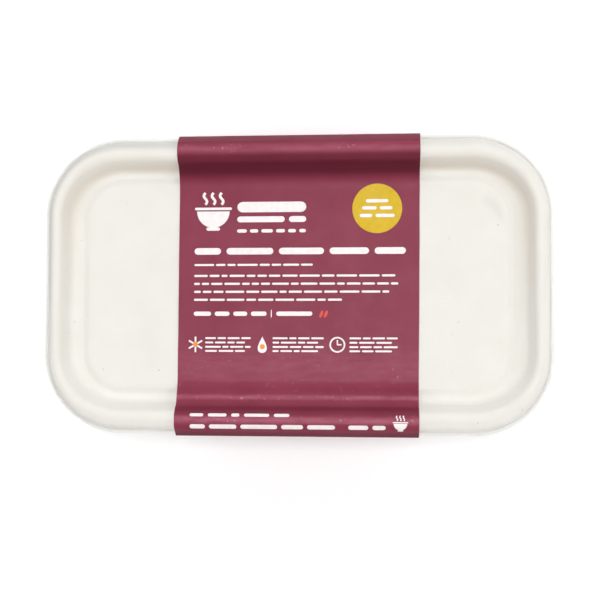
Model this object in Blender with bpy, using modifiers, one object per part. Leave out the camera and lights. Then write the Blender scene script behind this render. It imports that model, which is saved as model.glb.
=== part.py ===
"""Sleeved tray meal: a moulded pulp tray, shut by a pulp lid and held in a folded card sleeve.

Metres, +Z up. The origin is under the middle of the pack, on the surface it rests on, with +X along its
length and +Y towards the edge that the sleeve's print treats as its top.
"""

import math

import bmesh
import bpy
from mathutils import Vector

MM = 0.001

# The pack's outline, which is the edge of the tray's flange.
PACK_LENGTH = 222 * MM
PACK_WIDTH = 130 * MM
CORNER_RADIUS = 35 * MM
TRAY_DEPTH = 41 * MM

# Sheet thicknesses, and the gap that each piece keeps to the one it rests on.
FLANGE_THICKNESS = 1.2 * MM
LID_THICKNESS = 1.0 * MM
CARD_THICKNESS = 0.4 * MM
GAP = 0.3 * MM

# The lid's relief, as insets from the outline and heights above the lid's lower edge.
LID_EDGE = 2.0 * MM
OUTER_BROW = 3.3 * MM
CREST = 6.0 * MM
INNER_BROW = 8.0 * MM
LEDGE_START = 11.4 * MM
LEDGE_END = 16.6 * MM
PANEL_START = 19.2 * MM
PANEL_MIDDLE = 34 * MM
CREST_HEIGHT = 5.0 * MM
OUTER_BROW_HEIGHT = 3.7 * MM
INNER_BROW_HEIGHT = 4.2 * MM
LEDGE_HEIGHT = -3.7 * MM
PANEL_HEIGHT = -2.5 * MM
PANEL_CROWN = 0.3 * MM

# The radii that round it: at the lid's edge, along the domed rim, the ledge's outer corner and the panel.
EDGE_ROUND = 0.7 * MM
OUTER_BROW_ROUND = 2.2 * MM
CREST_ROUND = 2.3 * MM
INNER_BROW_ROUND = 2.6 * MM
LEDGE_ROUND = 4.2 * MM
PANEL_ROUND = 1.3 * MM

# Along the long sides the rim is wider, as insets there are stretched between RIM_START and RIM_END, and the
# ledge is narrower.
RIM_START = 1.9 * MM
RIM_END = 10 * MM
LONG_SIDE_STRETCH = 0.35
LEDGE_NARROWING = 2.0 * MM

# The tray's wall, as insets from the outline: a step for stacking near its top, and a foot ring below.
WALL_TOP = 8.2 * MM
STEP_START = 9.4 * MM
STEP_END = 10.6 * MM
STEP_DEPTH = 8.0 * MM
BASE_EDGE = 19.0 * MM
FOOT_END = 26.5 * MM
FOOT_HEIGHT = 1.3 * MM

# The radii that round the tray's face: flange edge, foot ring, seat and step, wall top, and wall foot.
FLANGE_ROUND = 0.4 * MM
FOOT_ROUND = 0.8 * MM
SEAT_ROUND = 1.0 * MM
WALL_TOP_ROUND = 1.2 * MM
WALL_FOOT_ROUND = 6.0 * MM

# The sleeve's width along X, how far it has slipped along the pack, its lean across the pack, and half its
# width where it lies under the base.
SLEEVE_WIDTH = 105.6 * MM
SLEEVE_SLIP = 1.3 * MM
SLEEVE_LEAN = 0.0065
SLEEVE_BASE_HALF = 44.5 * MM

# Where the sleeve crosses the rim, as insets from the pack's edge and heights above its own flat panel: it
# springs a little clear of the crest, then comes down in a long sweep on the far side, and over a creased
# shelf on the near one.
CREST_SPRING = 0.3 * MM
SHOULDER = 3.6 * MM
FAR_CREST = 9.9 * MM
FAR_SWEEP = 12.9 * MM
FAR_FOOT = 20.0 * MM
FAR_SWEEP_HEIGHT = 3.0 * MM
NEAR_CREST = 9.8 * MM
NEAR_SWEEP = 12.6 * MM
SHELF_START = 15.0 * MM
SHELF_END = 17.6 * MM
NEAR_FOOT = 23.0 * MM
NEAR_SWEEP_HEIGHT = 4.0 * MM
SHELF_HEIGHT = 2.2 * MM
SHELF_FALL = 0.3 * MM

# The sleeve's radii: the folds at the flange and base, the shoulder, the crests, and the foot of each side.
FOLD_ROUND = 1.1 * MM
SHOULDER_ROUND = 4.5 * MM
FAR_CREST_ROUND = 6.3 * MM
FAR_SWEEP_ROUND = 5.0 * MM
FAR_FOOT_ROUND = 14 * MM
NEAR_CREST_ROUND = 6.0 * MM
NEAR_SWEEP_ROUND = 4.0 * MM
SHELF_ROUND = 2.4 * MM
NEAR_FOOT_ROUND = 6 * MM

# Levels that follow from those.
TRAY_BASE = CARD_THICKNESS + GAP
FLANGE_TOP = TRAY_BASE + TRAY_DEPTH
LID_BASE = FLANGE_TOP + GAP
SLEEVE_OVER = GAP + CARD_THICKNESS

CORNER_STEPS = 12
LEAST_CORNER = 6 * MM
ARC_STEP = math.radians(18)
SHARP_ANGLE = math.radians(50)

PULP = (0.86, 0.84, 0.78, 1.0)
LID_PULP = (0.88, 0.86, 0.80, 1.0)
MAROON = (0.27, 0.07, 0.105, 1.0)
PULP_ROUGHNESS = 0.85
CARD_ROUGHNESS = 0.5


def clear_scene():
    for old in list(bpy.data.objects):
        bpy.data.objects.remove(old, do_unlink=True)


def material(name, colour, roughness):
    made = bpy.data.materials.new(name)
    made.use_nodes = True
    shader = made.node_tree.nodes["Principled BSDF"]
    shader.inputs["Base Color"].default_value = colour
    shader.inputs["Roughness"].default_value = roughness
    shader.inputs["Metallic"].default_value = 0.0
    return made


def rounded(corners):
    """The run of corners (across, up, radius) as points, each corner turned into an arc of its radius."""
    path = [Vector(corners[0][:2])]
    for before, here, after in zip(corners, corners[1:], corners[2:]):
        middle = Vector(here[:2])
        towards = (middle - Vector(before[:2])).normalized()
        away = (Vector(after[:2]) - middle).normalized()
        turn = towards.angle_signed(away)
        reach = here[2] * math.tan(abs(turn) / 2)
        start = middle - towards * reach
        inward = Vector((-towards.y, towards.x)) * (-here[2] if turn > 0 else here[2])
        centre = start + inward
        steps = max(1, round(abs(turn) / ARC_STEP))
        for i in range(steps + 1):
            angle = -turn * i / steps
            c, s = math.cos(angle), math.sin(angle)
            path.append(centre + Vector((-inward.x * c + inward.y * s, -inward.x * s - inward.y * c)))
    path.append(Vector(corners[-1][:2]))
    return path


def ring(inset, height):
    """Points round the pack's outline, moved inwards by an inset, at one height."""
    inset_y = inset + LONG_SIDE_STRETCH * (min(max(inset, RIM_START), RIM_END) - RIM_START)
    inset_y -= LEDGE_NARROWING * min(max((inset - LEDGE_START) / (LEDGE_END - LEDGE_START), 0), 1)
    half = Vector((PACK_LENGTH / 2 - inset, PACK_WIDTH / 2 - inset_y))
    radii = Vector((max(CORNER_RADIUS - inset, LEAST_CORNER), max(CORNER_RADIUS - inset_y, LEAST_CORNER)))
    points = []
    for corner, (side_x, side_y) in enumerate([(1, 1), (-1, 1), (-1, -1), (1, -1)]):
        for i in range(CORNER_STEPS + 1):
            angle = math.pi / 2 * (corner + i / CORNER_STEPS)
            x = side_x * (half.x - radii.x) + radii.x * math.cos(angle)
            y = side_y * (half.y - radii.y) + radii.y * math.sin(angle)
            points.append((x, y, height))
    return points


def new_object(name, mesh, made_of, collection):
    made = bpy.data.objects.new(name, mesh)
    made.data.materials.append(made_of)
    collection.objects.link(made)
    mesh.shade_smooth()
    mesh.set_sharp_from_angle(angle=SHARP_ANGLE)
    return made


def loft(name, corners, last_cap):
    """A mesh through one ring for each (inset, height) of a rounded profile, from the middle of the top."""
    form = bmesh.new()
    rings = [[form.verts.new(p) for p in ring(inset, height)] for inset, height in rounded(corners)]
    form.faces.new(rings[0])
    for upper, lower in zip(rings, rings[1:]):
        for i in range(len(upper)):
            j = (i + 1) % len(upper)
            form.faces.new((upper[j], upper[i], lower[i], lower[j]))
    if last_cap:
        form.faces.new(list(reversed(rings[-1])))
    mesh = bpy.data.meshes.new(name)
    form.to_mesh(mesh)
    form.free()
    return mesh


def lid_corners():
    """The lid's upper face from the middle of its panel out to its lower edge: panel, ledge, rim, skirt."""
    panel = LID_BASE + PANEL_HEIGHT
    ledge = LID_BASE + LEDGE_HEIGHT
    return [
        (PANEL_MIDDLE, panel + PANEL_CROWN, 0),
        (PANEL_START, panel, PANEL_ROUND),
        (LEDGE_END, ledge, PANEL_ROUND),
        (LEDGE_START, ledge, LEDGE_ROUND),
        (INNER_BROW, LID_BASE + INNER_BROW_HEIGHT, INNER_BROW_ROUND),
        (CREST, LID_BASE + CREST_HEIGHT, CREST_ROUND),
        (OUTER_BROW, LID_BASE + OUTER_BROW_HEIGHT, OUTER_BROW_ROUND),
        (LID_EDGE, LID_BASE + LID_THICKNESS, EDGE_ROUND),
        (LID_EDGE, LID_BASE, 0),
    ]


def build_lid(collection):
    """A shell of even thickness: a rim over the tray's flange, and a panel sunk into the tray."""
    mesh = loft("lid", lid_corners(), False)
    lid = new_object("lid", mesh, material("lid_pulp", LID_PULP, PULP_ROUGHNESS), collection)
    shell = lid.modifiers.new("thickness", "SOLIDIFY")
    shell.thickness = LID_THICKNESS
    shell.offset = -1
    shell.use_even_offset = True
    shell.use_quality_normals = True
    return lid


def tray_corners():
    """The tray's face from its seat for the lid, over the flange, down the wall and in under the base."""
    seat = LID_BASE + LEDGE_HEIGHT - LID_THICKNESS - GAP
    lid_slope = (LEDGE_START - INNER_BROW) / (INNER_BROW_HEIGHT - LEDGE_HEIGHT)
    under_lid = (LID_THICKNESS + GAP) * math.hypot(1, lid_slope)
    brow = LID_BASE + INNER_BROW_HEIGHT
    seat_end, flange_end = [INNER_BROW + (brow - z) * lid_slope - under_lid for z in (seat, FLANGE_TOP)]
    flange_under = FLANGE_TOP - FLANGE_THICKNESS
    step = flange_under - STEP_DEPTH
    return [
        (PANEL_MIDDLE, seat, 0),
        (seat_end, seat, SEAT_ROUND),
        (flange_end, FLANGE_TOP, SEAT_ROUND),
        (0, FLANGE_TOP, FLANGE_ROUND),
        (0, flange_under, FLANGE_ROUND),
        (WALL_TOP, flange_under, WALL_TOP_ROUND),
        (STEP_START, step, SEAT_ROUND),
        (STEP_END, step - (STEP_END - STEP_START), SEAT_ROUND),
        (BASE_EDGE, TRAY_BASE, WALL_FOOT_ROUND),
        (FOOT_END, TRAY_BASE, FOOT_ROUND),
        (FOOT_END + FOOT_HEIGHT, TRAY_BASE + FOOT_HEIGHT, FOOT_ROUND),
        (PANEL_MIDDLE, TRAY_BASE + FOOT_HEIGHT, 0),
    ]


def build_tray(collection):
    """The shut tray and the meal in it as one solid, since nothing inside can be seen."""
    mesh = loft("tray", tray_corners(), True)
    return new_object("tray", mesh, material("tray_pulp", PULP, PULP_ROUGHNESS), collection)


def sleeve_corners():
    """The sleeve's outer face in the YZ plane, once round from the middle of its top panel towards +Y."""
    side = PACK_WIDTH / 2
    crest = LID_BASE + CREST_HEIGHT + SLEEVE_OVER + CREST_SPRING
    panel = LID_BASE + PANEL_HEIGHT + PANEL_CROWN + SLEEVE_OVER
    flange = side + SLEEVE_OVER
    over_edge = FLANGE_TOP + SLEEVE_OVER
    under_edge = FLANGE_TOP - FLANGE_THICKNESS
    shoulders = [
        (side - SHOULDER, crest, SHOULDER_ROUND),
        (flange, over_edge, FOLD_ROUND),
        (flange, under_edge, FOLD_ROUND),
        (SLEEVE_BASE_HALF, 0, FOLD_ROUND),
    ]
    far = [
        (side - FAR_FOOT, panel, FAR_FOOT_ROUND),
        (side - FAR_SWEEP, panel + FAR_SWEEP_HEIGHT, FAR_SWEEP_ROUND),
        (side - FAR_CREST, crest, FAR_CREST_ROUND),
        *shoulders,
    ]
    near = [
        (side - NEAR_FOOT, panel, NEAR_FOOT_ROUND),
        (side - SHELF_END, panel + SHELF_HEIGHT - SHELF_FALL, SHELF_ROUND),
        (side - SHELF_START, panel + SHELF_HEIGHT, SHELF_ROUND),
        (side - NEAR_SWEEP, panel + NEAR_SWEEP_HEIGHT, NEAR_SWEEP_ROUND),
        (side - NEAR_CREST, crest, NEAR_CREST_ROUND),
        *shoulders,
    ]
    return [(0, panel, 0), *far, *((-y, z, r) for y, z, r in reversed(near)), (0, panel, 0)]


def build_sleeve(collection):
    """A band of card, folded round the shut tray and pressed down over the lid's rim."""
    path = rounded(sleeve_corners())[:-1]
    form = bmesh.new()
    sides = []
    for end in (SLEEVE_SLIP - SLEEVE_WIDTH / 2, SLEEVE_SLIP + SLEEVE_WIDTH / 2):
        sides.append([form.verts.new((end + SLEEVE_LEAN * y, y, z)) for y, z in path])
    for i in range(len(path)):
        j = (i + 1) % len(path)
        form.faces.new((sides[0][i], sides[1][i], sides[1][j], sides[0][j]))
    mesh = bpy.data.meshes.new("sleeve")
    form.to_mesh(mesh)
    form.free()
    sleeve = new_object("sleeve", mesh, material("sleeve_card", MAROON, CARD_ROUGHNESS), collection)
    card = sleeve.modifiers.new("thickness", "SOLIDIFY")
    card.thickness = CARD_THICKNESS
    card.offset = -1
    card.use_even_offset = True
    return sleeve


def main():
    clear_scene()
    pack = bpy.data.collections.new("sleeved_tray_meal")
    bpy.context.scene.collection.children.link(pack)
    build_tray(pack)
    build_lid(pack)
    build_sleeve(pack)


main()
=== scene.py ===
"""Looks of a sleeved tray meal: moulded pulp tray and lid, and a printed card sleeve round its middle.

Metres, +Z up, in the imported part's own frame. The pack lies on its base and the camera looks down on it.
"""

import math
import random

import bmesh
import bpy
import numpy as np
from mathutils import Euler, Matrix, Vector, geometry, noise


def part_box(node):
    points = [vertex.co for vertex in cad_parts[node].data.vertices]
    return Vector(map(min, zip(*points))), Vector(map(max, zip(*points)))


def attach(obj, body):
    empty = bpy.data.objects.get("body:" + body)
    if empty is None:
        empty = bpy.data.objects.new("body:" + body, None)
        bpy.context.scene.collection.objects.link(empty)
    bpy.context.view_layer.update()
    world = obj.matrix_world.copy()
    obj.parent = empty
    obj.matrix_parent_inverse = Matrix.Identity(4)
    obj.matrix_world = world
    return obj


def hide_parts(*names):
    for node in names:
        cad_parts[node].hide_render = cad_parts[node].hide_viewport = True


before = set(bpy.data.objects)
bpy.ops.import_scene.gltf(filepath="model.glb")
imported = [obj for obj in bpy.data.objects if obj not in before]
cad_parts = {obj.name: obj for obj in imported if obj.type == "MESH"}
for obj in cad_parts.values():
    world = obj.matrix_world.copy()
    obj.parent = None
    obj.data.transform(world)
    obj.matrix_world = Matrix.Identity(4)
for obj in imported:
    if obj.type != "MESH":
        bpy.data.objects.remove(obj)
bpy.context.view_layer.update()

MM = 0.001
TRAY_LOW, TRAY_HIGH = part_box("tray")
SLEEVE_LOW, SLEEVE_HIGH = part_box("sleeve")

# The pack's outline.
HALF_LENGTH = TRAY_HIGH.x
HALF_WIDTH = TRAY_HIGH.y
CORNER_RADIUS = 35 * MM
LEAST_CORNER = 4 * MM

# Levels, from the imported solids.
GAP = 0.3 * MM
FLANGE_TOP = TRAY_HIGH.z
TRAY_BASE = TRAY_LOW.z
LID_BASE = FLANGE_TOP + GAP
CREST_LEVEL = LID_BASE + 5.0 * MM
OUTER_BROW_LEVEL = LID_BASE + 3.7 * MM
INNER_BROW_LEVEL = LID_BASE + 4.2 * MM
LEDGE = LID_BASE - 3.7 * MM
PANEL = LID_BASE - 2.5 * MM
PANEL_CROWN = 0.3 * MM
FLANGE_THICKNESS = 1.2 * MM
FLANGE_ROUND = 0.5 * MM
LID_THICKNESS = 1.0 * MM
LID_SHELL = 0.8 * MM
CARD_THICKNESS = 0.4 * MM

# The lid's relief, as insets from the outline, and the radii that round it.
LID_EDGE = 2.0 * MM
OUTER_BROW = 3.3 * MM
CREST = 6.0 * MM
INNER_BROW = 8.0 * MM
LEDGE_START = 11.4 * MM
LEDGE_END = 16.6 * MM
PANEL_START = 19.2 * MM
PANEL_MIDDLE = 34 * MM
PANEL_LAST = 60 * MM
EDGE_ROUND = 0.7 * MM
OUTER_BROW_ROUND = 2.2 * MM
CREST_ROUND = 2.3 * MM
INNER_BROW_ROUND = 2.6 * MM
LEDGE_ROUND = 4.2 * MM
PANEL_ROUND = 1.3 * MM
MIDDLE_ROUND = 9 * MM

# Along the long sides the rim is wider, as insets there are stretched between two of them, and the ledge is
# narrower.
RIM_START = 1.9 * MM
RIM_END = 10 * MM
LONG_SIDE_STRETCH = 0.35
LEDGE_NARROWING = 2.0 * MM

# The tray's seat under the lid, its flange with a pressed groove, and its wall, as insets from the outline.
SEAT = LEDGE - LID_THICKNESS - GAP
LID_SLOPE = (LEDGE_START - INNER_BROW) / (INNER_BROW_LEVEL - LEDGE)
UNDER_LID = (LID_THICKNESS + GAP) * math.hypot(1, LID_SLOPE)
SEAT_START = INNER_BROW + (INNER_BROW_LEVEL - SEAT) * LID_SLOPE - UNDER_LID
FLANGE_END = INNER_BROW + (INNER_BROW_LEVEL - FLANGE_TOP) * LID_SLOPE - UNDER_LID
GROOVE_INNER = 2.6 * MM
GROOVE_OUTER = 0.9 * MM
GROOVE_SLOPE = 0.6 * MM
GROOVE_DEPTH = 0.45 * MM
GROOVE_ROUND = 0.25 * MM
WALL_TOP = 8.2 * MM
STEP_START = 9.4 * MM
STEP_END = 10.6 * MM
STEP_DEPTH = 8.0 * MM
BASE_EDGE = 19.0 * MM
FOOT_END = 26.5 * MM
FOOT_HEIGHT = 1.3 * MM
SEAT_ROUND = 1.0 * MM
FLANGE_END_ROUND = 0.9 * MM
WALL_ROUND = 1.2 * MM
STEP_ROUND = 1.0 * MM
BASE_ROUND = 6.0 * MM
FOOT_ROUND = 0.8 * MM

# The sleeve: its place along the pack and its section.
SLEEVE_MIDDLE = (SLEEVE_LOW.x + SLEEVE_HIGH.x) / 2
SLEEVE_LEAN = 0.0065
SLEEVE_WIDTH = SLEEVE_HIGH.x - SLEEVE_LOW.x - SLEEVE_LEAN * 2 * HALF_WIDTH
SLEEVE_INSIDE = 0.05 * MM
SLEEVE_TOP = SLEEVE_HIGH.z - SLEEVE_INSIDE
SLEEVE_SIDE = SLEEVE_HIGH.y - SLEEVE_INSIDE
SLEEVE_BASE_HALF = 44.5 * MM
SLEEVE_PANEL = SLEEVE_TOP - 7.5 * MM
SHOULDER = 3.6 * MM
FAR_CREST = 9.9 * MM
FAR_SWEEP = 12.9 * MM
FAR_FOOT = 20.0 * MM
FAR_SWEEP_HEIGHT = 3.0 * MM
NEAR_CREST = 9.8 * MM
NEAR_SWEEP = 12.6 * MM
SHELF_START = 15.0 * MM
SHELF_END = 17.6 * MM
NEAR_FOOT = 23.0 * MM
NEAR_SWEEP_HEIGHT = 4.0 * MM
SHELF_HEIGHT = 2.2 * MM
SHELF_FALL = 0.3 * MM
FOLD_ROUND = 1.1 * MM
SHOULDER_ROUND = 4.5 * MM
FAR_CREST_ROUND = 6.3 * MM
FAR_SWEEP_ROUND = 5.0 * MM
FAR_FOOT_ROUND = 14 * MM
NEAR_CREST_ROUND = 6.0 * MM
NEAR_SWEEP_ROUND = 4.0 * MM
SHELF_ROUND = 2.4 * MM
NEAR_FOOT_ROUND = 6 * MM
CUT_EDGE = 0.28 * MM
CUT_BACK = 0.12 * MM

# How far the card's top gives inwards, at most: everywhere, and more where it spans from rim to panel.
CARD_GIVE = 0.10 * MM
SPAN_GIVE = 0.25 * MM
SPAN_MIDDLE = 43 * MM
SPAN_REACH = 9 * MM
CARD_WAVES = ((1.0, 34 * MM, 4),)

# How uneven the cut edges and the pulp's surfaces are, as (height, reach, seed) of their waves.
CUT_WAVES = ((0.10 * MM, 14 * MM, 8),)
LID_WAVES = ((0.09 * MM, 34 * MM, 3), (0.02 * MM, 8 * MM, 5))
TRAY_WAVES = ((0.12 * MM, 24 * MM, 9), (0.03 * MM, 5 * MM, 2))

# How far the lid's crest and the tray's outline stay inside the solids.
LID_INSIDE = 0.10 * MM
TRAY_INSIDE = 0.12 * MM

# How far each ink lies above the card, and how thick its film is.
YELLOW_PROUD = 0.02 * MM
RED_PROUD = 0.04 * MM
WHITE_PROUD = 0.05 * MM
ORANGE_PROUD = 0.08 * MM
FILM_THICKNESS = 0.06 * MM

# How fine the meshes are.
ARC_STEP = math.radians(9)
CORNER_STEPS = 30
LONG_STEPS = 90
SHORT_STEPS = 38
LID_STEP = 1.6 * MM
TRAY_STEP = 2.2 * MM
SLEEVE_STEP = 1.5 * MM
SLEEVE_PATH_STEP = 1.0 * MM
PRINT_STEP = 1.6 * MM
PRINT_FINE_STEP = 0.55 * MM
PRINT_FINE_BELOW = -HALF_WIDTH * 0.75
MERGE_DISTANCE = 1e-7
ROUNDEL_STEPS = 72
DOT_STEPS = 20

# Colours, linear.
PULP = (0.832, 0.812, 0.770, 1.0)
PULP_SHADE = (0.812, 0.792, 0.745, 1.0)
TRAY_PULP = (0.825, 0.815, 0.798, 1.0)
TRAY_SHADE = (0.805, 0.793, 0.774, 1.0)
PULP_SPECK = (0.42, 0.36, 0.28, 1.0)
# Painted shade, grey, for the pulp's creases, the panel's step and the crescent.
PULP_PAINTED_SHADE = (0.50, 0.50, 0.48, 1.0)
# Painted shade, brownish, for the lid's inner slope.
PULP_SLOPE_SHADE = (0.70, 0.62, 0.52, 1.0)
MAROON = (0.250, 0.038, 0.071, 1.0)
MAROON_DEEP = (0.225, 0.031, 0.060, 1.0)
# Painted highlight along the card's crests.
MAROON_PAINTED_HIGHLIGHT = (0.40, 0.105, 0.160, 1.0)
# Painted shade where the card is bent hollow.
MAROON_PAINTED_SHADE = (0.105, 0.011, 0.024, 1.0)
SCUFF = (0.62, 0.30, 0.36, 1.0)
CARD_CORE = (0.82, 0.79, 0.77, 1.0)
CARD_CORE_SHADE = (0.72, 0.68, 0.65, 1.0)
INK_WHITE = (0.93, 0.87, 0.87, 1.0)
INK_YELLOW = (0.69, 0.45, 0.0, 1.0)
INK_RED = (0.78, 0.07, 0.05, 1.0)
INK_ORANGE = (0.85, 0.30, 0.04, 1.0)
THIN_INK = 0.9
FLOOR = (0.93, 0.93, 0.93, 1.0)
SURROUND = (1.0, 0.995, 0.985, 1.0)

# The studio: its floor, the strength of its surround at the horizon and overhead, and its softboxes, each
# with the direction in which it stands from the pack and its power.
FLOOR_REACH = 4.0
FLOOR_GLOW = 0.09
SURROUND_LOW = 0.22
SURROUND_HIGH = 0.24
LIGHT_DISTANCE = 2.2
LIGHT_SIZE = 1.0
LIGHTS = (
    ("overhead", (0.0, 0.0, 1.0), 28.0),
    ("near", (0.0, -2.0, 1.0), 4.3),
    ("far", (0.0, 2.0, 1.0), 10.5),
    ("right", (1.5, 0.0, 1.0), 12.5),
    ("left", (-1.5, 0.0, 1.0), 6.0),
)

# The camera, in millimetres and degrees: it looks almost straight down on the pack.
CAMERA_PLACE = Vector((39.1, -21.9, 490.5)) * MM
CAMERA_TURN = (1.97, 4.68, 0.10)
CAMERA_FOV = 32.28


def rounded(corners):
    """The run of corners (across, up, radius) as points, each corner turned into an arc of its radius."""
    path = [Vector(corners[0][:2])]
    for before, here, after in zip(corners, corners[1:], corners[2:]):
        middle = Vector(here[:2])
        towards = (middle - Vector(before[:2])).normalized()
        away = (Vector(after[:2]) - middle).normalized()
        turn = towards.angle_signed(away)
        reach = here[2] * math.tan(abs(turn) / 2)
        start = middle - towards * reach
        inward = Vector((-towards.y, towards.x)) * (-here[2] if turn > 0 else here[2])
        centre = start + inward
        steps = max(1, round(abs(turn) / ARC_STEP))
        for i in range(steps + 1):
            angle = -turn * i / steps
            c, s = math.cos(angle), math.sin(angle)
            path.append(centre + Vector((-inward.x * c + inward.y * s, -inward.x * s - inward.y * c)))
    path.append(Vector(corners[-1][:2]))
    return path


def evened(path, step):
    """The same path with its long straight runs cut into pieces no longer than a step."""
    points = [path[0]]
    for start, end in zip(path, path[1:]):
        count = max(1, math.ceil((end - start).length / step))
        points += [start.lerp(end, (i + 1) / count) for i in range(count)]
    return points


def ring(inset, height):
    """Points round the pack's outline, moved inwards by an inset, at one height."""
    inset_y = inset + LONG_SIDE_STRETCH * (min(max(inset, RIM_START), RIM_END) - RIM_START)
    inset_y -= LEDGE_NARROWING * min(max((inset - LEDGE_START) / (LEDGE_END - LEDGE_START), 0), 1)
    half = Vector((HALF_LENGTH - inset, HALF_WIDTH - inset_y))
    radii = Vector((max(CORNER_RADIUS - inset, LEAST_CORNER), max(CORNER_RADIUS - inset_y, LEAST_CORNER)))
    radii.y = min(radii.y, half.y)
    turned = []
    for corner, (side_x, side_y) in enumerate([(1, 1), (-1, 1), (-1, -1), (1, -1)]):
        for i in range(CORNER_STEPS + 1):
            angle = math.pi / 2 * (corner + i / CORNER_STEPS)
            x = side_x * (half.x - radii.x) + radii.x * math.cos(angle)
            y = side_y * (half.y - radii.y) + radii.y * math.sin(angle)
            turned.append(Vector((x, y, height)))
    points = []
    for corner in range(4):
        first = corner * (CORNER_STEPS + 1)
        run = turned[first:first + CORNER_STEPS + 1]
        following = turned[(first + CORNER_STEPS + 1) % len(turned)]
        steps = LONG_STEPS if corner % 2 == 0 else SHORT_STEPS
        points += run + [run[-1].lerp(following, i / steps) for i in range(1, steps)]
    return points


def loft(name, corners, last_cap, step, tones):
    """A mesh through one ring for each (inset, height) of a rounded profile, from the middle of the top."""
    form = bmesh.new()
    # Two vertex layers of painted shade, grey and brownish, given by tones.
    painted_shade = form.verts.layers.float.new("painted_shade")
    slope_shade = form.verts.layers.float.new("slope_shade")
    rings = []
    for inset, height in evened(rounded(corners), step):
        rings.append([form.verts.new(p) for p in ring(inset, height)])
        for vertex in rings[-1]:
            vertex[painted_shade], vertex[slope_shade] = tones(inset, vertex.co)
    form.faces.new(rings[0])
    for upper, lower in zip(rings, rings[1:]):
        for i in range(len(upper)):
            j = (i + 1) % len(upper)
            form.faces.new((upper[j], upper[i], lower[i], lower[j]))
    if last_cap:
        form.faces.new(list(reversed(rings[-1])))
    mesh = bpy.data.meshes.new(name)
    form.to_mesh(mesh)
    form.free()
    return mesh


def along(inset, lines):
    """How near an inset is to any of some lines (inset, half width, strength), from 0 to 1."""
    total = sum(strength * math.exp(-((inset - at) / reach) ** 2) for at, reach, strength in lines)
    return min(total, 1.0)


def share(point, turn):
    """How far a point of the rim lies towards a side of the pack, from 0 to 1."""
    away = Vector((point.x / HALF_LENGTH, point.y / HALF_WIDTH)).normalized()
    return min(max(BESIDE_SHARE + FACING_SHARE * away.dot(turn), 0), 1)


def new_object(name, mesh, *materials):
    """A smooth object of a mesh and its materials, put into the scene."""
    made = bpy.data.objects.new(name, mesh)
    for used in materials:
        mesh.materials.append(used)
    bpy.context.scene.collection.objects.link(made)
    mesh.shade_smooth()
    return made


def waves(point, layers):
    """The height of smooth waves at a point, for layers of (height, reach, seed)."""
    total = 0.0
    for height, reach, seed in layers:
        total += height * noise.noise(Vector(point) / reach + Vector((seed, seed * 1.7, seed * 0.6)))
    return total


# Materials


class Shader:
    """A Principled material and short ways to add the nodes that feed it."""

    def __init__(self, name, colour, roughness):
        self.material = bpy.data.materials.new(name)
        self.material.use_nodes = True
        self.tree = self.material.node_tree
        self.surface = self.tree.nodes["Principled BSDF"]
        self.surface.inputs["Base Color"].default_value = colour
        self.surface.inputs["Roughness"].default_value = roughness
        self.place = self.tree.nodes.new("ShaderNodeTexCoord").outputs["Object"]

    def link(self, output, target):
        self.tree.links.new(output, target)

    def stretched(self, scale, turn=0.0):
        """Object coordinates, stretched and turned about Z."""
        mapping = self.tree.nodes.new("ShaderNodeMapping")
        mapping.inputs["Scale"].default_value = scale
        mapping.inputs["Rotation"].default_value = (0, 0, turn)
        self.link(self.place, mapping.inputs["Vector"])
        return mapping.outputs["Vector"]

    def noise(self, scale, detail=2.0, vector=None, distortion=0.0):
        made = self.tree.nodes.new("ShaderNodeTexNoise")
        made.inputs["Scale"].default_value = scale
        made.inputs["Detail"].default_value = detail
        made.inputs["Distortion"].default_value = distortion
        self.link(vector or self.place, made.inputs["Vector"])
        return made.outputs["Fac"]

    def ranged(self, value, low, high, to_low=0.0, to_high=1.0):
        made = self.tree.nodes.new("ShaderNodeMapRange")
        made.inputs["From Min"].default_value = low
        made.inputs["From Max"].default_value = high
        made.inputs["To Min"].default_value = to_low
        made.inputs["To Max"].default_value = to_high
        self.link(value, made.inputs["Value"])
        return made.outputs["Result"]

    def product(self, first, second):
        made = self.tree.nodes.new("ShaderNodeMath")
        made.operation = "MULTIPLY"
        self.link(first, made.inputs[0])
        self.link(second, made.inputs[1])
        return made.outputs[0]

    def attribute(self, name):
        made = self.tree.nodes.new("ShaderNodeAttribute")
        made.attribute_name = name
        return made.outputs["Fac"]

    def mixed(self, factor, first, second):
        """Two colours, each a value or an output, mixed by a factor output."""
        made = self.tree.nodes.new("ShaderNodeMix")
        made.data_type = "RGBA"
        self.link(factor, made.inputs["Factor"])
        for socket, colour in ((made.inputs[6], first), (made.inputs[7], second)):
            if isinstance(colour, tuple):
                socket.default_value = colour
            else:
                self.link(colour, socket)
        return made.outputs[2]

    def bumped(self, height, strength, distance, below=None):
        made = self.tree.nodes.new("ShaderNodeBump")
        made.inputs["Strength"].default_value = strength
        made.inputs["Distance"].default_value = distance
        self.link(height, made.inputs["Height"])
        if below:
            self.link(below, made.inputs["Normal"])
        return made.outputs["Normal"]

    def finish(self, colour=None, roughness=None, normal=None):
        for output, socket in ((colour, "Base Color"), (roughness, "Roughness"), (normal, "Normal")):
            if output:
                self.link(output, self.surface.inputs[socket])
        return self.material


# The pulp's textures, as scales per metre, the turns of its two runs of fibres and the depth of its relief.
PULP_CLOUDS = 70
PULP_CELLS = 190
PULP_GRAIN = 240
PULP_GRAIN_DEPTH = 0.25 * MM
FIBRES = (260, 1500, 900)
FIBRES_TURN = 0.7
CROSSING = (1400, 300, 900)
CROSSING_TURN = -0.4
FIBRES_DEPTH = 0.12 * MM

# How far light spreads in the pulp: less than the lid is thick, so that little shines through it.
PULP_SCATTER = 0.7 * MM
PULP_SCATTER_SHARES = (1.0, 0.98, 0.94)


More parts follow.
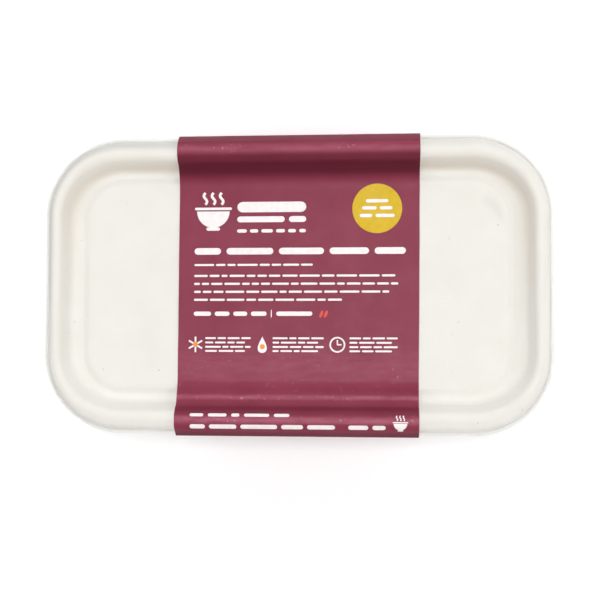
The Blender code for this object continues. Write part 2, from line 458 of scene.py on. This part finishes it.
def pulp_material(name, pulp, shade, coarse):
    """Moulded plant fibre: warm white, cloudy, with short fibres, a grain and a few darker specks, and
    painted shade, brownish and grey, from the vertex layers.
    """
    s = Shader(name, pulp, 0.88)
    clouds = s.ranged(s.noise(PULP_CLOUDS, 3), 0.35, 0.65)
    fibres = s.noise(1.0, 3, s.stretched(FIBRES, FIBRES_TURN), 0.6)
    crossing = s.noise(1.0, 3, s.stretched(CROSSING, CROSSING_TURN), 0.6)
    colour = s.mixed(clouds, pulp, shade)
    colour = s.mixed(s.product(s.ranged(fibres, 0.52, 0.72), s.ranged(crossing, 0.3, 0.6)), colour, shade)
    cells = s.tree.nodes.new("ShaderNodeTexVoronoi")
    cells.inputs["Scale"].default_value = PULP_CELLS
    s.link(s.place, cells.inputs["Vector"])
    picked = s.ranged(cells.outputs["Color"], 0.74, 0.78)
    specks = s.product(s.ranged(cells.outputs["Distance"], 0.10, 0.04), picked)
    colour = s.mixed(s.ranged(specks, 0.0, 1.0, 0.0, 0.45), colour, PULP_SPECK)
    # Brownish painted shade on the lid's inner slope.
    colour = s.mixed(s.attribute("slope_shade"), colour, PULP_SLOPE_SHADE)
    # Grey painted shade in the creases, on the step and in the crescent.
    colour = s.mixed(s.attribute("painted_shade"), colour, PULP_PAINTED_SHADE)
    normal = s.bumped(s.noise(PULP_GRAIN, 4), coarse, PULP_GRAIN_DEPTH)
    normal = s.bumped(fibres, 0.22, FIBRES_DEPTH, normal)
    normal = s.bumped(crossing, 0.18, FIBRES_DEPTH, normal)
    s.surface.inputs["Specular IOR Level"].default_value = 0.25
    s.surface.inputs["Subsurface Weight"].default_value = 0.8
    s.surface.inputs["Subsurface Radius"].default_value = PULP_SCATTER_SHARES
    s.surface.inputs["Subsurface Scale"].default_value = PULP_SCATTER
    return s.finish(colour, s.ranged(fibres, 0.3, 0.7, 0.82, 0.95), normal)


# The card's and the inks' textures, as scales per metre, and the depth of their relief.
CARD_MOTTLE = 55
CARD_PATCHES = (110, 420, 300)
CARD_FLECKS = 620
CARD_RUBS = 90
CARD_GLOSS = 160
CARD_GRAIN = 300
CARD_GRAIN_DEPTH = 0.10 * MM
FINE_GRAIN = 1600
FINE_GRAIN_DEPTH = 0.03 * MM
CORE_FIBRES = (300, 1700, 900)
CORE_FIBRES_DEPTH = 0.08 * MM
INK_MOTTLE = 420


def card_material():
    """Coated card in maroon ink: satin, faintly mottled, with a painted highlight along its crests and
    painted shade where it is bent hollow, and scuffed where folds and the rim press it out.
    """
    s = Shader("sleeve_card", MAROON, 0.4)
    s.surface.inputs["Specular IOR Level"].default_value = 0.12
    highlight_and_scuffs = s.attribute("highlight_and_scuffs")
    colour = s.mixed(s.ranged(s.noise(CARD_MOTTLE, 4), 0.35, 0.65), MAROON, MAROON_DEEP)
    # Painted shade in the card's hollows and on its steep slopes.
    colour = s.mixed(s.attribute("fold_shade"), colour, MAROON_PAINTED_SHADE)
    patchy = s.ranged(s.noise(1.0, 3, s.stretched(CARD_PATCHES)), 0.32, 0.68, 0.35, 1.0)
    # Painted highlight along the crests, in patches.
    colour = s.mixed(s.product(patchy, highlight_and_scuffs), colour, MAROON_PAINTED_HIGHLIGHT)
    flecks = s.ranged(s.noise(CARD_FLECKS, 3), 0.60, 0.70)
    rubbed = s.ranged(s.noise(CARD_RUBS, 2), 0.45, 0.7)
    # Scuffs, only where the painted highlight lies.
    colour = s.mixed(s.product(s.product(flecks, rubbed), highlight_and_scuffs), colour, SCUFF)
    normal = s.bumped(s.noise(CARD_GRAIN, 3), 0.10, CARD_GRAIN_DEPTH)
    normal = s.bumped(s.noise(FINE_GRAIN, 2), 0.10, FINE_GRAIN_DEPTH, normal)
    return s.finish(colour, s.ranged(s.noise(CARD_GLOSS, 3), 0.3, 0.7, 0.36, 0.44), normal)


def core_material():
    """The card's unprinted white core and inside, with the short fibres of board."""
    s = Shader("card_core", CARD_CORE, 0.85)
    fibres = s.noise(1.0, 3, s.stretched(CORE_FIBRES), 0.5)
    colour = s.mixed(s.ranged(fibres, 0.35, 0.7), CARD_CORE, CARD_CORE_SHADE)
    return s.finish(colour, None, s.bumped(fibres, 0.2, CORE_FIBRES_DEPTH))


def ink_material(name, colour):
    """Flat satin ink with a little of the card's grain and mottle."""
    s = Shader(name, colour, 0.5)
    s.surface.inputs["Specular IOR Level"].default_value = 0.3
    thin = tuple(THIN_INK * c for c in colour[:3]) + (1.0,)
    mottled = s.mixed(s.ranged(s.noise(INK_MOTTLE, 3), 0.35, 0.7), colour, thin)
    roughness = s.ranged(s.noise(CARD_GLOSS, 3), 0.3, 0.7, 0.42, 0.54)
    return s.finish(mottled, roughness, s.bumped(s.noise(FINE_GRAIN, 2), 0.1, FINE_GRAIN_DEPTH))


def floor_material():
    """Matt white that glows a little, so that the ground stays white beside the pack."""
    s = Shader("studio_floor", FLOOR, 0.9)
    s.surface.inputs["Specular IOR Level"].default_value = 0.0
    s.surface.inputs["Emission Color"].default_value = FLOOR
    s.surface.inputs["Emission Strength"].default_value = FLOOR_GLOW
    return s.material


# Tray and lid


# Painted shade, grey: lines (inset, half width, strength) in the crease at the lid's edge and on the
# panel's step, strongest on the side of the pack that the turn after them gives.
LID_CREASE_SHADE = ((3.1 * MM, 1.3 * MM, 0.6),)
TRAY_CREASE_SHADE = ((1.9 * MM, 0.4 * MM, 0.3),)
CREASE_TURN = Vector((-0.7, 0.7))
STEP_SHADE = ((18.2 * MM, 1.8 * MM, 0.11),)
STEP_TURN = Vector((-0.7, -0.7))

# The share of a line's strength at right angles to its turn, and what is added to that share in its turn.
BESIDE_SHARE = 0.25
FACING_SHARE = 0.85

# Painted shade, brownish, on the lid's inner slope, in the same way.
SLOPE_SHADE_LINES = ((10.6 * MM, 2.4 * MM, 0.65),)
SLOPE_TURN = Vector((0.1, 1.0))

# A crescent dent in one corner of the panel, an arc that fades out at both ends, with painted shade laid in
# it.
DENT_MIDDLE = Vector((76.0, 24.5)) * MM
DENT_RADIUS = 13.4 * MM
DENT_START = math.radians(5)
DENT_SPAN = math.radians(70)
DENT_HALF_WIDTH = 1.7 * MM
DENT_DEPTH = 0.45 * MM
# The strength of the painted shade in the crescent.
DENT_SHADE = 0.2


def dent(point):
    """How much of the crescent is at a point of the lid, from 0 to 1."""
    away = Vector(point[:2]) - DENT_MIDDLE
    turned = (math.atan2(away.y, away.x) - DENT_START) / DENT_SPAN
    across = (away.length - DENT_RADIUS) / DENT_HALF_WIDTH
    return math.sin(math.pi * min(max(turned, 0.0), 1.0)) * math.exp(-across * across)


def lid_tones(inset, point):
    """How much painted shade the lid gets at a point: grey in its creases, on its step and in its crescent,
    and brownish on its inner slope.
    """
    painted_shade = along(inset, LID_CREASE_SHADE) * share(point, CREASE_TURN)
    painted_shade += along(inset, STEP_SHADE) * share(point, STEP_TURN)
    painted_shade += DENT_SHADE * dent(point)
    return painted_shade, along(inset, SLOPE_SHADE_LINES) * share(point, SLOPE_TURN)


def tray_tones(inset, point):
    """How much painted shade the tray gets at a point: grey in the crease at the lid's edge, and no
    brownish shade.
    """
    return along(inset, TRAY_CREASE_SHADE) * share(point, CREASE_TURN), 0.0


def build_lid(pulp):
    """The lid's shell, a little uneven as wet-pressed fibre is."""
    corners = [
        (PANEL_LAST, PANEL + PANEL_CROWN, 0),
        (PANEL_MIDDLE, PANEL + PANEL_CROWN, MIDDLE_ROUND),
        (PANEL_START, PANEL, PANEL_ROUND),
        (LEDGE_END, LEDGE, PANEL_ROUND),
        (LEDGE_START, LEDGE, LEDGE_ROUND),
        (INNER_BROW, INNER_BROW_LEVEL, INNER_BROW_ROUND),
        (CREST, CREST_LEVEL, CREST_ROUND),
        (OUTER_BROW, OUTER_BROW_LEVEL, OUTER_BROW_ROUND),
        (LID_EDGE, LID_BASE + LID_THICKNESS, EDGE_ROUND),
        (LID_EDGE, LID_BASE, 0),
    ]
    mesh = loft("lid_pulp", corners, False, LID_STEP, lid_tones)
    for vertex in mesh.vertices:
        above = min(max((vertex.co.z - LID_BASE) / (CREST_LEVEL - LID_BASE), 0), 1)
        vertex.co.z += waves(vertex.co, LID_WAVES) - LID_INSIDE * above - DENT_DEPTH * dent(vertex.co)
    lid = new_object("lid_pulp", mesh, pulp)
    shell = lid.modifiers.new("thickness", "SOLIDIFY")
    shell.thickness = LID_SHELL
    shell.offset = -1
    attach(lid, "root")
    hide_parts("lid")


def build_tray(pulp):
    """The tray's outside, with a soft waviness along its flange and walls."""
    flange_under = FLANGE_TOP - FLANGE_THICKNESS
    step = flange_under - STEP_DEPTH
    corners = [
        (PANEL_MIDDLE, SEAT, 0),
        (SEAT_START, SEAT, SEAT_ROUND),
        (FLANGE_END, FLANGE_TOP, FLANGE_END_ROUND),
        (GROOVE_INNER, FLANGE_TOP, GROOVE_ROUND),
        (GROOVE_INNER - GROOVE_SLOPE, FLANGE_TOP - GROOVE_DEPTH, GROOVE_ROUND),
        (GROOVE_OUTER + GROOVE_SLOPE, FLANGE_TOP - GROOVE_DEPTH, GROOVE_ROUND),
        (GROOVE_OUTER, FLANGE_TOP, GROOVE_ROUND),
        (0, FLANGE_TOP, FLANGE_ROUND),
        (0, flange_under, FLANGE_ROUND),
        (WALL_TOP, flange_under, WALL_ROUND),
        (STEP_START, step, STEP_ROUND),
        (STEP_END, step - (STEP_END - STEP_START), STEP_ROUND),
        (BASE_EDGE, TRAY_BASE, BASE_ROUND),
        (FOOT_END, TRAY_BASE, FOOT_ROUND),
        (FOOT_END + FOOT_HEIGHT, TRAY_BASE + FOOT_HEIGHT, FOOT_ROUND),
        (PANEL_LAST, TRAY_BASE + FOOT_HEIGHT, 0),
    ]
    mesh = loft("tray_pulp", corners, True, TRAY_STEP, tray_tones)
    for vertex in mesh.vertices:
        inwards = -Vector((vertex.co.x / HALF_LENGTH, vertex.co.y / HALF_WIDTH, 0)).normalized()
        vertex.co += inwards * max(TRAY_INSIDE + waves(vertex.co, TRAY_WAVES), 0.0)
    tray = new_object("tray_pulp", mesh, pulp)
    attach(tray, "root")
    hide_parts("tray")


# Sleeve


def sleeve_corners():
    """The sleeve's outer face in the YZ plane, once round from the middle of its top panel towards +Y."""
    shoulders = [
        (HALF_WIDTH - SHOULDER, SLEEVE_TOP, SHOULDER_ROUND),
        (SLEEVE_SIDE, FLANGE_TOP + GAP + CARD_THICKNESS, FOLD_ROUND),
        (SLEEVE_SIDE, FLANGE_TOP - FLANGE_THICKNESS, FOLD_ROUND),
        (SLEEVE_BASE_HALF, 0, FOLD_ROUND),
    ]
    far = [
        (HALF_WIDTH - FAR_FOOT, SLEEVE_PANEL, FAR_FOOT_ROUND),
        (HALF_WIDTH - FAR_SWEEP, SLEEVE_PANEL + FAR_SWEEP_HEIGHT, FAR_SWEEP_ROUND),
        (HALF_WIDTH - FAR_CREST, SLEEVE_TOP, FAR_CREST_ROUND),
        *shoulders,
    ]
    near = [
        (HALF_WIDTH - NEAR_FOOT, SLEEVE_PANEL, NEAR_FOOT_ROUND),
        (HALF_WIDTH - SHELF_END, SLEEVE_PANEL + SHELF_HEIGHT - SHELF_FALL, SHELF_ROUND),
        (HALF_WIDTH - SHELF_START, SLEEVE_PANEL + SHELF_HEIGHT, SHELF_ROUND),
        (HALF_WIDTH - NEAR_SWEEP, SLEEVE_PANEL + NEAR_SWEEP_HEIGHT, NEAR_SWEEP_ROUND),
        (HALF_WIDTH - NEAR_CREST, SLEEVE_TOP, NEAR_CREST_ROUND),
        *shoulders,
    ]
    return [(0, SLEEVE_PANEL, 0), *far, *((-y, z, r) for y, z, r in reversed(near)), (0, SLEEVE_PANEL, 0)]


# Painted highlight, where scuffs also lie, along the card's crests and in a broad band on the near half,
# and painted shade where it is bent hollow: lines (inset, half width, strength) along the sleeve, on the
# half towards +Y and on the other half.
FAR_HIGHLIGHT_AND_SCUFFS = ((5.6 * MM, 1.4 * MM, 0.65),)
NEAR_HIGHLIGHT_AND_SCUFFS = ((6.9 * MM, 1.5 * MM, 1.0), (16.2 * MM, 0.9 * MM, 0.9), (29.0 * MM, 8.0 * MM, 0.35))
FAR_FOLD_SHADE = (
    (1.6 * MM, 1.6 * MM, 0.40),
    (9.2 * MM, 1.6 * MM, 0.40),
    (12.0 * MM, 2.4 * MM, 0.45),
    (14.9 * MM, 2.9 * MM, 0.95),
)
NEAR_FOLD_SHADE = ((0.3 * MM, 1.6 * MM, 0.65), (11.0 * MM, 1.8 * MM, 0.5), (19.9 * MM, 1.4 * MM, 0.15))

# The sleeve's section, and the part of it that is its upper face.
SLEEVE_PATH = evened(rounded(sleeve_corners()), SLEEVE_PATH_STEP)
TOP_HALF = 64.5 * MM
TOP_LOWEST = SLEEVE_PANEL - 0.5 * MM
TOP_PATH = sorted((p.x, p.y) for p in SLEEVE_PATH if p.y > TOP_LOWEST and abs(p.x) < TOP_HALF)


def sleeve_level(y):
    """The height of the sleeve's upper face at a distance across the pack."""
    return float(np.interp(y, [p[0] for p in TOP_PATH], [p[1] for p in TOP_PATH]))


def sleeve_give(x, y):
    """How far the card gives inwards at a point of its top: slight waves, more where it spans free."""
    spanning = math.exp(-((abs(y) - SPAN_MIDDLE) / SPAN_REACH) ** 2)
    return (CARD_GIVE + SPAN_GIVE * spanning) * (1 + waves((x, y, 0), CARD_WAVES)) / 2


def on_sleeve(x, y, proud):
    """A point of the sleeve's upper face, from its place on the flat sleeve seen from above."""
    return Vector((SLEEVE_MIDDLE + x + SLEEVE_LEAN * y, y, sleeve_level(y) - sleeve_give(x, y) + proud))


def build_sleeve(card, core):
    """The card band: printed outside, white inside and along its cut edges."""
    half = SLEEVE_WIDTH / 2
    inner = half - CUT_EDGE
    count = round(2 * inner / SLEEVE_STEP)
    spread = [-half, *(-inner + 2 * inner * i / count for i in range(count + 1)), half]
    path = SLEEVE_PATH[:-1]
    form = bmesh.new()
    # Painted highlight along the card's crests, which also places its scuffs.
    highlight_and_scuffs = form.verts.layers.float.new("highlight_and_scuffs")
    # Painted shade in the card's hollows.
    fold_shade = form.verts.layers.float.new("fold_shade")
    columns = []
    for x in spread:
        column = []
        for y, z in path:
            top = z > TOP_LOWEST
            give = sleeve_give(x, y) if top else 0.0
            cut = waves((x, y, z), CUT_WAVES) - CUT_BACK
            end = math.copysign(cut, x) if abs(x) > half - 2 * CUT_EDGE else 0.0
            vertex = form.verts.new((SLEEVE_MIDDLE + x + end + SLEEVE_LEAN * y, y, z - give))
            inset = HALF_WIDTH - abs(y)
            vertex[highlight_and_scuffs] = along(inset, FAR_HIGHLIGHT_AND_SCUFFS if y > 0 else NEAR_HIGHLIGHT_AND_SCUFFS) if top else 0.0
            vertex[fold_shade] = along(inset, FAR_FOLD_SHADE if y > 0 else NEAR_FOLD_SHADE) if top else 0.0
            column.append(vertex)
        columns.append(column)
    for k, (left, right) in enumerate(zip(columns, columns[1:])):
        for i in range(len(path)):
            j = (i + 1) % len(path)
            face = form.faces.new((left[i], right[i], right[j], left[j]))
            face.material_index = 1 if k in (0, len(columns) - 2) else 0
    mesh = bpy.data.meshes.new("sleeve_card")
    form.to_mesh(mesh)
    form.free()
    sleeve = new_object("sleeve_card", mesh, card, core)
    board = sleeve.modifiers.new("thickness", "SOLIDIFY")
    board.thickness = CARD_THICKNESS
    board.offset = -1
    board.use_even_offset = True
    board.material_offset = 1
    board.material_offset_rim = 1
    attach(sleeve, "root")
    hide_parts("sleeve")


# Print: every shape is an outline in millimetres on the sleeve's top, from its middle


def bar(left, right, middle, height, lean=0.0):
    """A round-ended bar."""
    radius = min(height, right - left) / 2
    points = []
    for centre, start in ((right - radius, -90), (left + radius, 90)):
        for turn in range(0, 181, 30):
            angle = math.radians(start + turn)
            y = middle + height / 2 * math.sin(angle)
            points.append((centre + radius * math.cos(angle) + lean * (y - middle), y))
    return points


def disc(x, y, radius, steps=40, first=0, last=360):
    """A disc, or a slice of one between two angles."""
    span = last - first
    count = steps if span == 360 else steps + 1
    angles = [math.radians(first + span * i / steps) for i in range(count)]
    return [(x + radius * math.cos(a), y + radius * math.sin(a)) for a in angles]


def stroke(points, width):
    """A ribbon of even width along a run of points."""
    run = [Vector(p) for p in points]
    sides = [[], []]
    for i, here in enumerate(run):
        heading = (run[min(i + 1, len(run) - 1)] - run[max(i - 1, 0)]).normalized()
        across = Vector((-heading.y, heading.x)) * width / 2
        sides[0].append(tuple(here + across))
        sides[1].append(tuple(here - across))
    return sides[1] + sides[0][::-1]


def words(left, right, middle, height, least, most, seed, gap=None):
    """A line of bars of uneven length, as the words of a line are."""
    draw = random.Random(seed)
    gap = gap or height * WORD_GAP
    row = []
    start = left
    while start < right - least * WORD_ROOM:
        end = min(start + draw.uniform(least, most), right)
        if right - end < least:
            end = right
        row.append(bar(start, end, middle, height))
        start = end + gap
    return row


def steam(x, y, height, width):
    """One curl of steam, as a wavy stroke."""
    sway = height * 0.14
    steps = 14
    run = [(x + sway * math.sin(2 * math.pi * i / steps), y + height * i / steps) for i in range(steps + 1)]
    return stroke(run, width)


def bowl(x, y, size):
    """A bowl with steam over it: a half disc, its foot and three curls."""
    shapes = [disc(x, y, size, 30, 180, 360)]
    shapes.append(bar(x - size * 0.42, x + size * 0.42, y - size * 1.08, size * 0.2))
    shapes.append(bar(x - size * 1.14, x + size * 1.14, y + size * 0.16, size * 0.16))
    for step in (-1, 0, 1):
        shapes.append(steam(x + step * size * 0.5, y + size * 0.42, size * 0.72, size * 0.16))
    return shapes


def star(x, y, radius, width, arms):
    """Crossing strokes, as a plain frost star."""
    middle = Vector((x, y))
    shapes = []
    for i in range(arms):
        angle = math.pi * i / arms + math.pi / 2
        reach = Vector((math.cos(angle), math.sin(angle))) * radius
        shapes.append(stroke([middle - reach, middle, middle + reach], width))
    return shapes


def drop(x, y, radius):
    """A drop, pointed at its top."""
    steps = 32
    points = []
    for i in range(steps):
        angle = 2 * math.pi * i / steps
        pinch = math.sin(angle / 2) ** 1.6
        points.append((x + radius * math.sin(angle) * pinch, y + radius * 1.25 * math.cos(angle)))
    return points


def outline_ring(x, y, radius, width):
    """A ring, as two half ribbons."""
    halves = []
    for first in (0, 180):
        angles = [math.radians(first + turn) for turn in range(0, 181, 10)]
        halves.append(stroke([(x + radius * math.cos(a), y + radius * math.sin(a)) for a in angles], width))
    return halves


# Where the print stands, in millimetres from the middle of the sleeve's top.
TEXT_LEFT = -45.8
INFO_Y = -12.4
ICON_Y = -25.9
STRIP_Y = -61.1
STAR_X = -44.9
DROP_X = -15.4
CLOCK_X = 17.4
ROUNDEL_X = 34.3
ROUNDEL_Y = 33.4
ROUNDEL_RADIUS = 10.8

# Steaming bowls, as (across, up, radius).
LARGE_BOWL = (-37.6, 32.6, 7.2)
SMALL_BOWL = (44.7, -59.2, 2.9)

# Plain bars, as (left, right, middle, height, lean).
NAME_BARS = ((-27.0, 3.4, 34.4, 4.6), (-27.0, -6.0, 29.0, 2.6), (-4.2, 3.4, 29.0, 2.6))
INFO_RULE = (-11.75, -11.35, INFO_Y, 3.8)
RED_MARKS = ((9.6, 11.0, INFO_Y - 0.2, 3.2, 0.35), (11.6, 13.0, INFO_Y - 0.2, 3.2, 0.35))

# The small motifs: a star (across, up, radius, width, arms), a drop (across, up, radius), the dots on both
# and a clock's ring (across, up, radius, width) with its hands.
STAR = (STAR_X, ICON_Y, 3.4, 0.75, 3)
DROP = (DROP_X, ICON_Y, 2.9)
DOTS = ((STAR_X, ICON_Y, 1.1), (DROP_X, ICON_Y - 0.9, 1.1))
CLOCK = (CLOCK_X, ICON_Y, 3.1, 0.7)
HANDS = (((CLOCK_X, ICON_Y), (CLOCK_X, ICON_Y + 2.1)), ((CLOCK_X - 0.2, ICON_Y), (CLOCK_X + 1.8, ICON_Y)))
HAND_WIDTH = 0.6

# Lines of words, as (left, right, middle, height, least length, most length, seed, gap). Where no gap is
# given, it is WORD_GAP of the height. A word starts where more than WORD_ROOM of the least length is left.
WORD_GAP = 0.9
WORD_ROOM = 0.6
UPPER_LINES = (
    (-27.0, 3.3, 23.9, 1.5, 3.2, 8.0, 4),
    (ROUNDEL_X - 4.9, ROUNDEL_X + 4.9, 36.7, 1.5, 4.5, 8.5, 11),
    (ROUNDEL_X - 6.6, ROUNDEL_X + 6.6, 33.6, 1.5, 4.5, 8.5, 12),
    (ROUNDEL_X - 7.6, ROUNDEL_X + 7.6, 30.3, 1.5, 4.5, 8.5, 13),
    (TEXT_LEFT, 46.8, 15.0, 2.9, 9, 26, 21, 2.4),
    (TEXT_LEFT, 6.4, 9.0, 0.9, 3.5, 9, 22),
    (TEXT_LEFT, 42.3, 4.2, 0.95, 2.5, 9, 30),
    (TEXT_LEFT, 43.6, 0.7, 0.95, 2.5, 9, 31),
    (TEXT_LEFT, 39.7, -2.8, 0.95, 2.5, 9, 32),
    (TEXT_LEFT, 19.3, -6.3, 0.95, 2.5, 9, 33),
    (TEXT_LEFT, -13.6, INFO_Y, 1.9, 5, 12, 41, 1.6),
    (-9.4, 6.4, INFO_Y, 1.9, 5, 15.8, 42, 1.6),
)
LOWER_LINES = (
    (TEXT_LEFT, -2.6, STRIP_Y + 5.0, 1.3, 3.5, 11, 71, 2.0),
    (TEXT_LEFT, 17.0, STRIP_Y, 1.9, 6, 16, 72, 1.7),
    (22.6, 38.5, STRIP_Y, 1.9, 6, 15, 73, 1.7),
)

# Beside each small motif stands a column (left, right) of four lines, every second one shorter, of words
# (height, least length, most length).
ICON_COLUMNS = ((-40.6, -20.5), (-10.9, 11.5), (22.6, 43.5))
ICON_LINES = (-23.1, -25.0, -26.9, -28.7)
ICON_LINE_SHORTER = 2.5
ICON_WORDS = (0.8, 2.5, 7)
ICON_SEED = 50


def icon_texts():
    """The columns of small lines beside the three motifs."""
    shapes = []
    for column, (left, right) in enumerate(ICON_COLUMNS):
        for row, y in enumerate(ICON_LINES):
            seed = ICON_SEED + len(ICON_LINES) * column + row
            shapes += words(left, right - ICON_LINE_SHORTER * (row % 2), y, *ICON_WORDS, seed)
    return shapes


def white_shapes():
    """Everything that is printed in white."""
    shapes = bowl(*LARGE_BOWL)
    shapes += [bar(*place) for place in NAME_BARS]
    for line in UPPER_LINES:
        shapes += words(*line)
    shapes.append(bar(*INFO_RULE))
    shapes += star(*STAR)
    shapes.append(drop(*DROP))
    shapes += outline_ring(*CLOCK)
    shapes += [stroke(hand, HAND_WIDTH) for hand in HANDS]
    shapes += icon_texts()
    for line in LOWER_LINES:
        shapes += words(*line)
    shapes += bowl(*SMALL_BOWL)
    return shapes


def print_piece(name, shapes, ink, proud):
    """All shapes of one ink as one thin closed mesh that follows the sleeve."""
    form = bmesh.new()
    for shape in shapes:
        fill_shape(form, [(x * MM, y * MM) for x, y in shape], proud)
    mesh = bpy.data.meshes.new(name)
    form.to_mesh(mesh)
    form.free()
    piece = new_object(name, mesh, ink)
    mesh.shade_flat()
    film = piece.modifiers.new("thickness", "SOLIDIFY")
    film.thickness = FILM_THICKNESS
    film.offset = -1
    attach(piece, "root")


def fill_shape(form, outline, proud):
    """Fills an outline with triangles, smaller where the sleeve curves, and lays them on the sleeve."""
    border = []
    step = PRINT_FINE_STEP if outline[0][1] < PRINT_FINE_BELOW else PRINT_STEP
    for here, after in zip(outline, outline[1:] + outline[:1]):
        length = math.dist(here, after)
        count = max(1, math.ceil(length / step))
        border += [Vector(here).lerp(Vector(after), i / count) for i in range(count)]
    low = Vector((min(p.x for p in border), min(p.y for p in border)))
    high = Vector((max(p.x for p in border), max(p.y for p in border)))
    inside = []
    for i in range(1, int((high.x - low.x) / step) + 1):
        for j in range(1, int((high.y - low.y) / step) + 1):
            inside.append(low + Vector((i, j)) * step)
    edges = [(i, (i + 1) % len(border)) for i in range(len(border))]
    points, _, faces, *_ = geometry.delaunay_2d_cdt(border + inside, edges, [], 1, MERGE_DISTANCE)
    made = [form.verts.new(on_sleeve(p.x, p.y, proud)) for p in points]
    used = set()
    for face in faces:
        corners = [made[i] for i in face]
        try:
            new = form.faces.new(corners)
        except ValueError:
            continue
        new.normal_update()
        if new.normal.z < 0:
            new.normal_flip()
        used.update(corners)
    for vertex in made:
        if vertex not in used:
            form.verts.remove(vertex)


def build_print():
    """The sleeve's print, one piece for each ink."""
    roundel = disc(ROUNDEL_X, ROUNDEL_Y, ROUNDEL_RADIUS, ROUNDEL_STEPS)
    print_piece("print_yellow", [roundel], ink_material("ink_yellow", INK_YELLOW), YELLOW_PROUD)
    print_piece("print_white", white_shapes(), ink_material("ink_white", INK_WHITE), WHITE_PROUD)
    marks = [bar(*mark) for mark in RED_MARKS]
    print_piece("print_red", marks, ink_material("ink_red", INK_RED), RED_PROUD)
    dots = [disc(*dot, DOT_STEPS) for dot in DOTS]
    print_piece("print_orange", dots, ink_material("ink_orange", INK_ORANGE), ORANGE_PROUD)


# Studio


def build_floor():
    """A wide floor under the pack."""
    mesh = bpy.data.meshes.new("studio_floor")
    corners = [(FLOOR_REACH * x, FLOOR_REACH * y, 0) for x, y in ((-1, -1), (1, -1), (1, 1), (-1, 1))]
    mesh.from_pydata(corners, [], [(0, 1, 2, 3)])
    floor = new_object("studio_floor", mesh, floor_material())


def build_world():
    """A soft white surround, brightest overhead."""
    world = bpy.data.worlds.new("studio")
    bpy.context.scene.world = world
    world.use_nodes = True
    nodes, links = world.node_tree.nodes, world.node_tree.links
    place = nodes.new("ShaderNodeTexCoord")
    parts = nodes.new("ShaderNodeSeparateXYZ")
    ramp = nodes.new("ShaderNodeMapRange")
    ramp.inputs["From Min"].default_value = 0.0
    ramp.inputs["From Max"].default_value = 1.0
    ramp.inputs["To Min"].default_value = SURROUND_LOW
    ramp.inputs["To Max"].default_value = SURROUND_HIGH
    links.new(place.outputs["Generated"], parts.inputs[0])
    links.new(parts.outputs["Z"], ramp.inputs["Value"])
    links.new(ramp.outputs["Result"], nodes["Background"].inputs["Strength"])
    nodes["Background"].inputs["Color"].default_value = SURROUND


def area_light(name, direction, power):
    """A square softbox that faces the pack from a direction."""
    light = bpy.data.lights.new(name, "AREA")
    light.shape = "SQUARE"
    light.size = LIGHT_SIZE
    light.energy = power
    lamp = bpy.data.objects.new(name, light)
    towards = Vector(direction).normalized()
    aim = Vector((0, 0, FLANGE_TOP))
    lamp.location = aim + towards * LIGHT_DISTANCE
    lamp.rotation_euler = towards.to_track_quat("Z", "Y").to_euler()
    bpy.context.scene.collection.objects.link(lamp)


def build_lights():
    for name, direction, power in LIGHTS:
        area_light(name, direction, power)


def build_camera():
    """The camera that looks down on the shut pack."""
    camera = bpy.data.cameras.new("camera")
    camera.sensor_fit = "HORIZONTAL"
    camera.angle = math.radians(CAMERA_FOV)
    camera.clip_start = 0.01
    holder = bpy.data.objects.new("camera", camera)
    holder.location = CAMERA_PLACE
    holder.rotation_euler = Euler([math.radians(a) for a in CAMERA_TURN], "XYZ")
    bpy.context.scene.collection.objects.link(holder)
    bpy.context.scene.camera = holder


def set_view():
    bpy.context.scene.view_settings.view_transform = "Standard"
    bpy.context.scene.view_settings.look = "None"


def main():
    build_camera()
    build_world()
    build_lights()
    set_view()
    build_floor()
    build_tray(pulp_material("pulp_tray", TRAY_PULP, TRAY_SHADE, 0.35))
    build_lid(pulp_material("pulp_lid", PULP, PULP_SHADE, 0.22))
    build_sleeve(card_material(), core_material())
    build_print()


main()
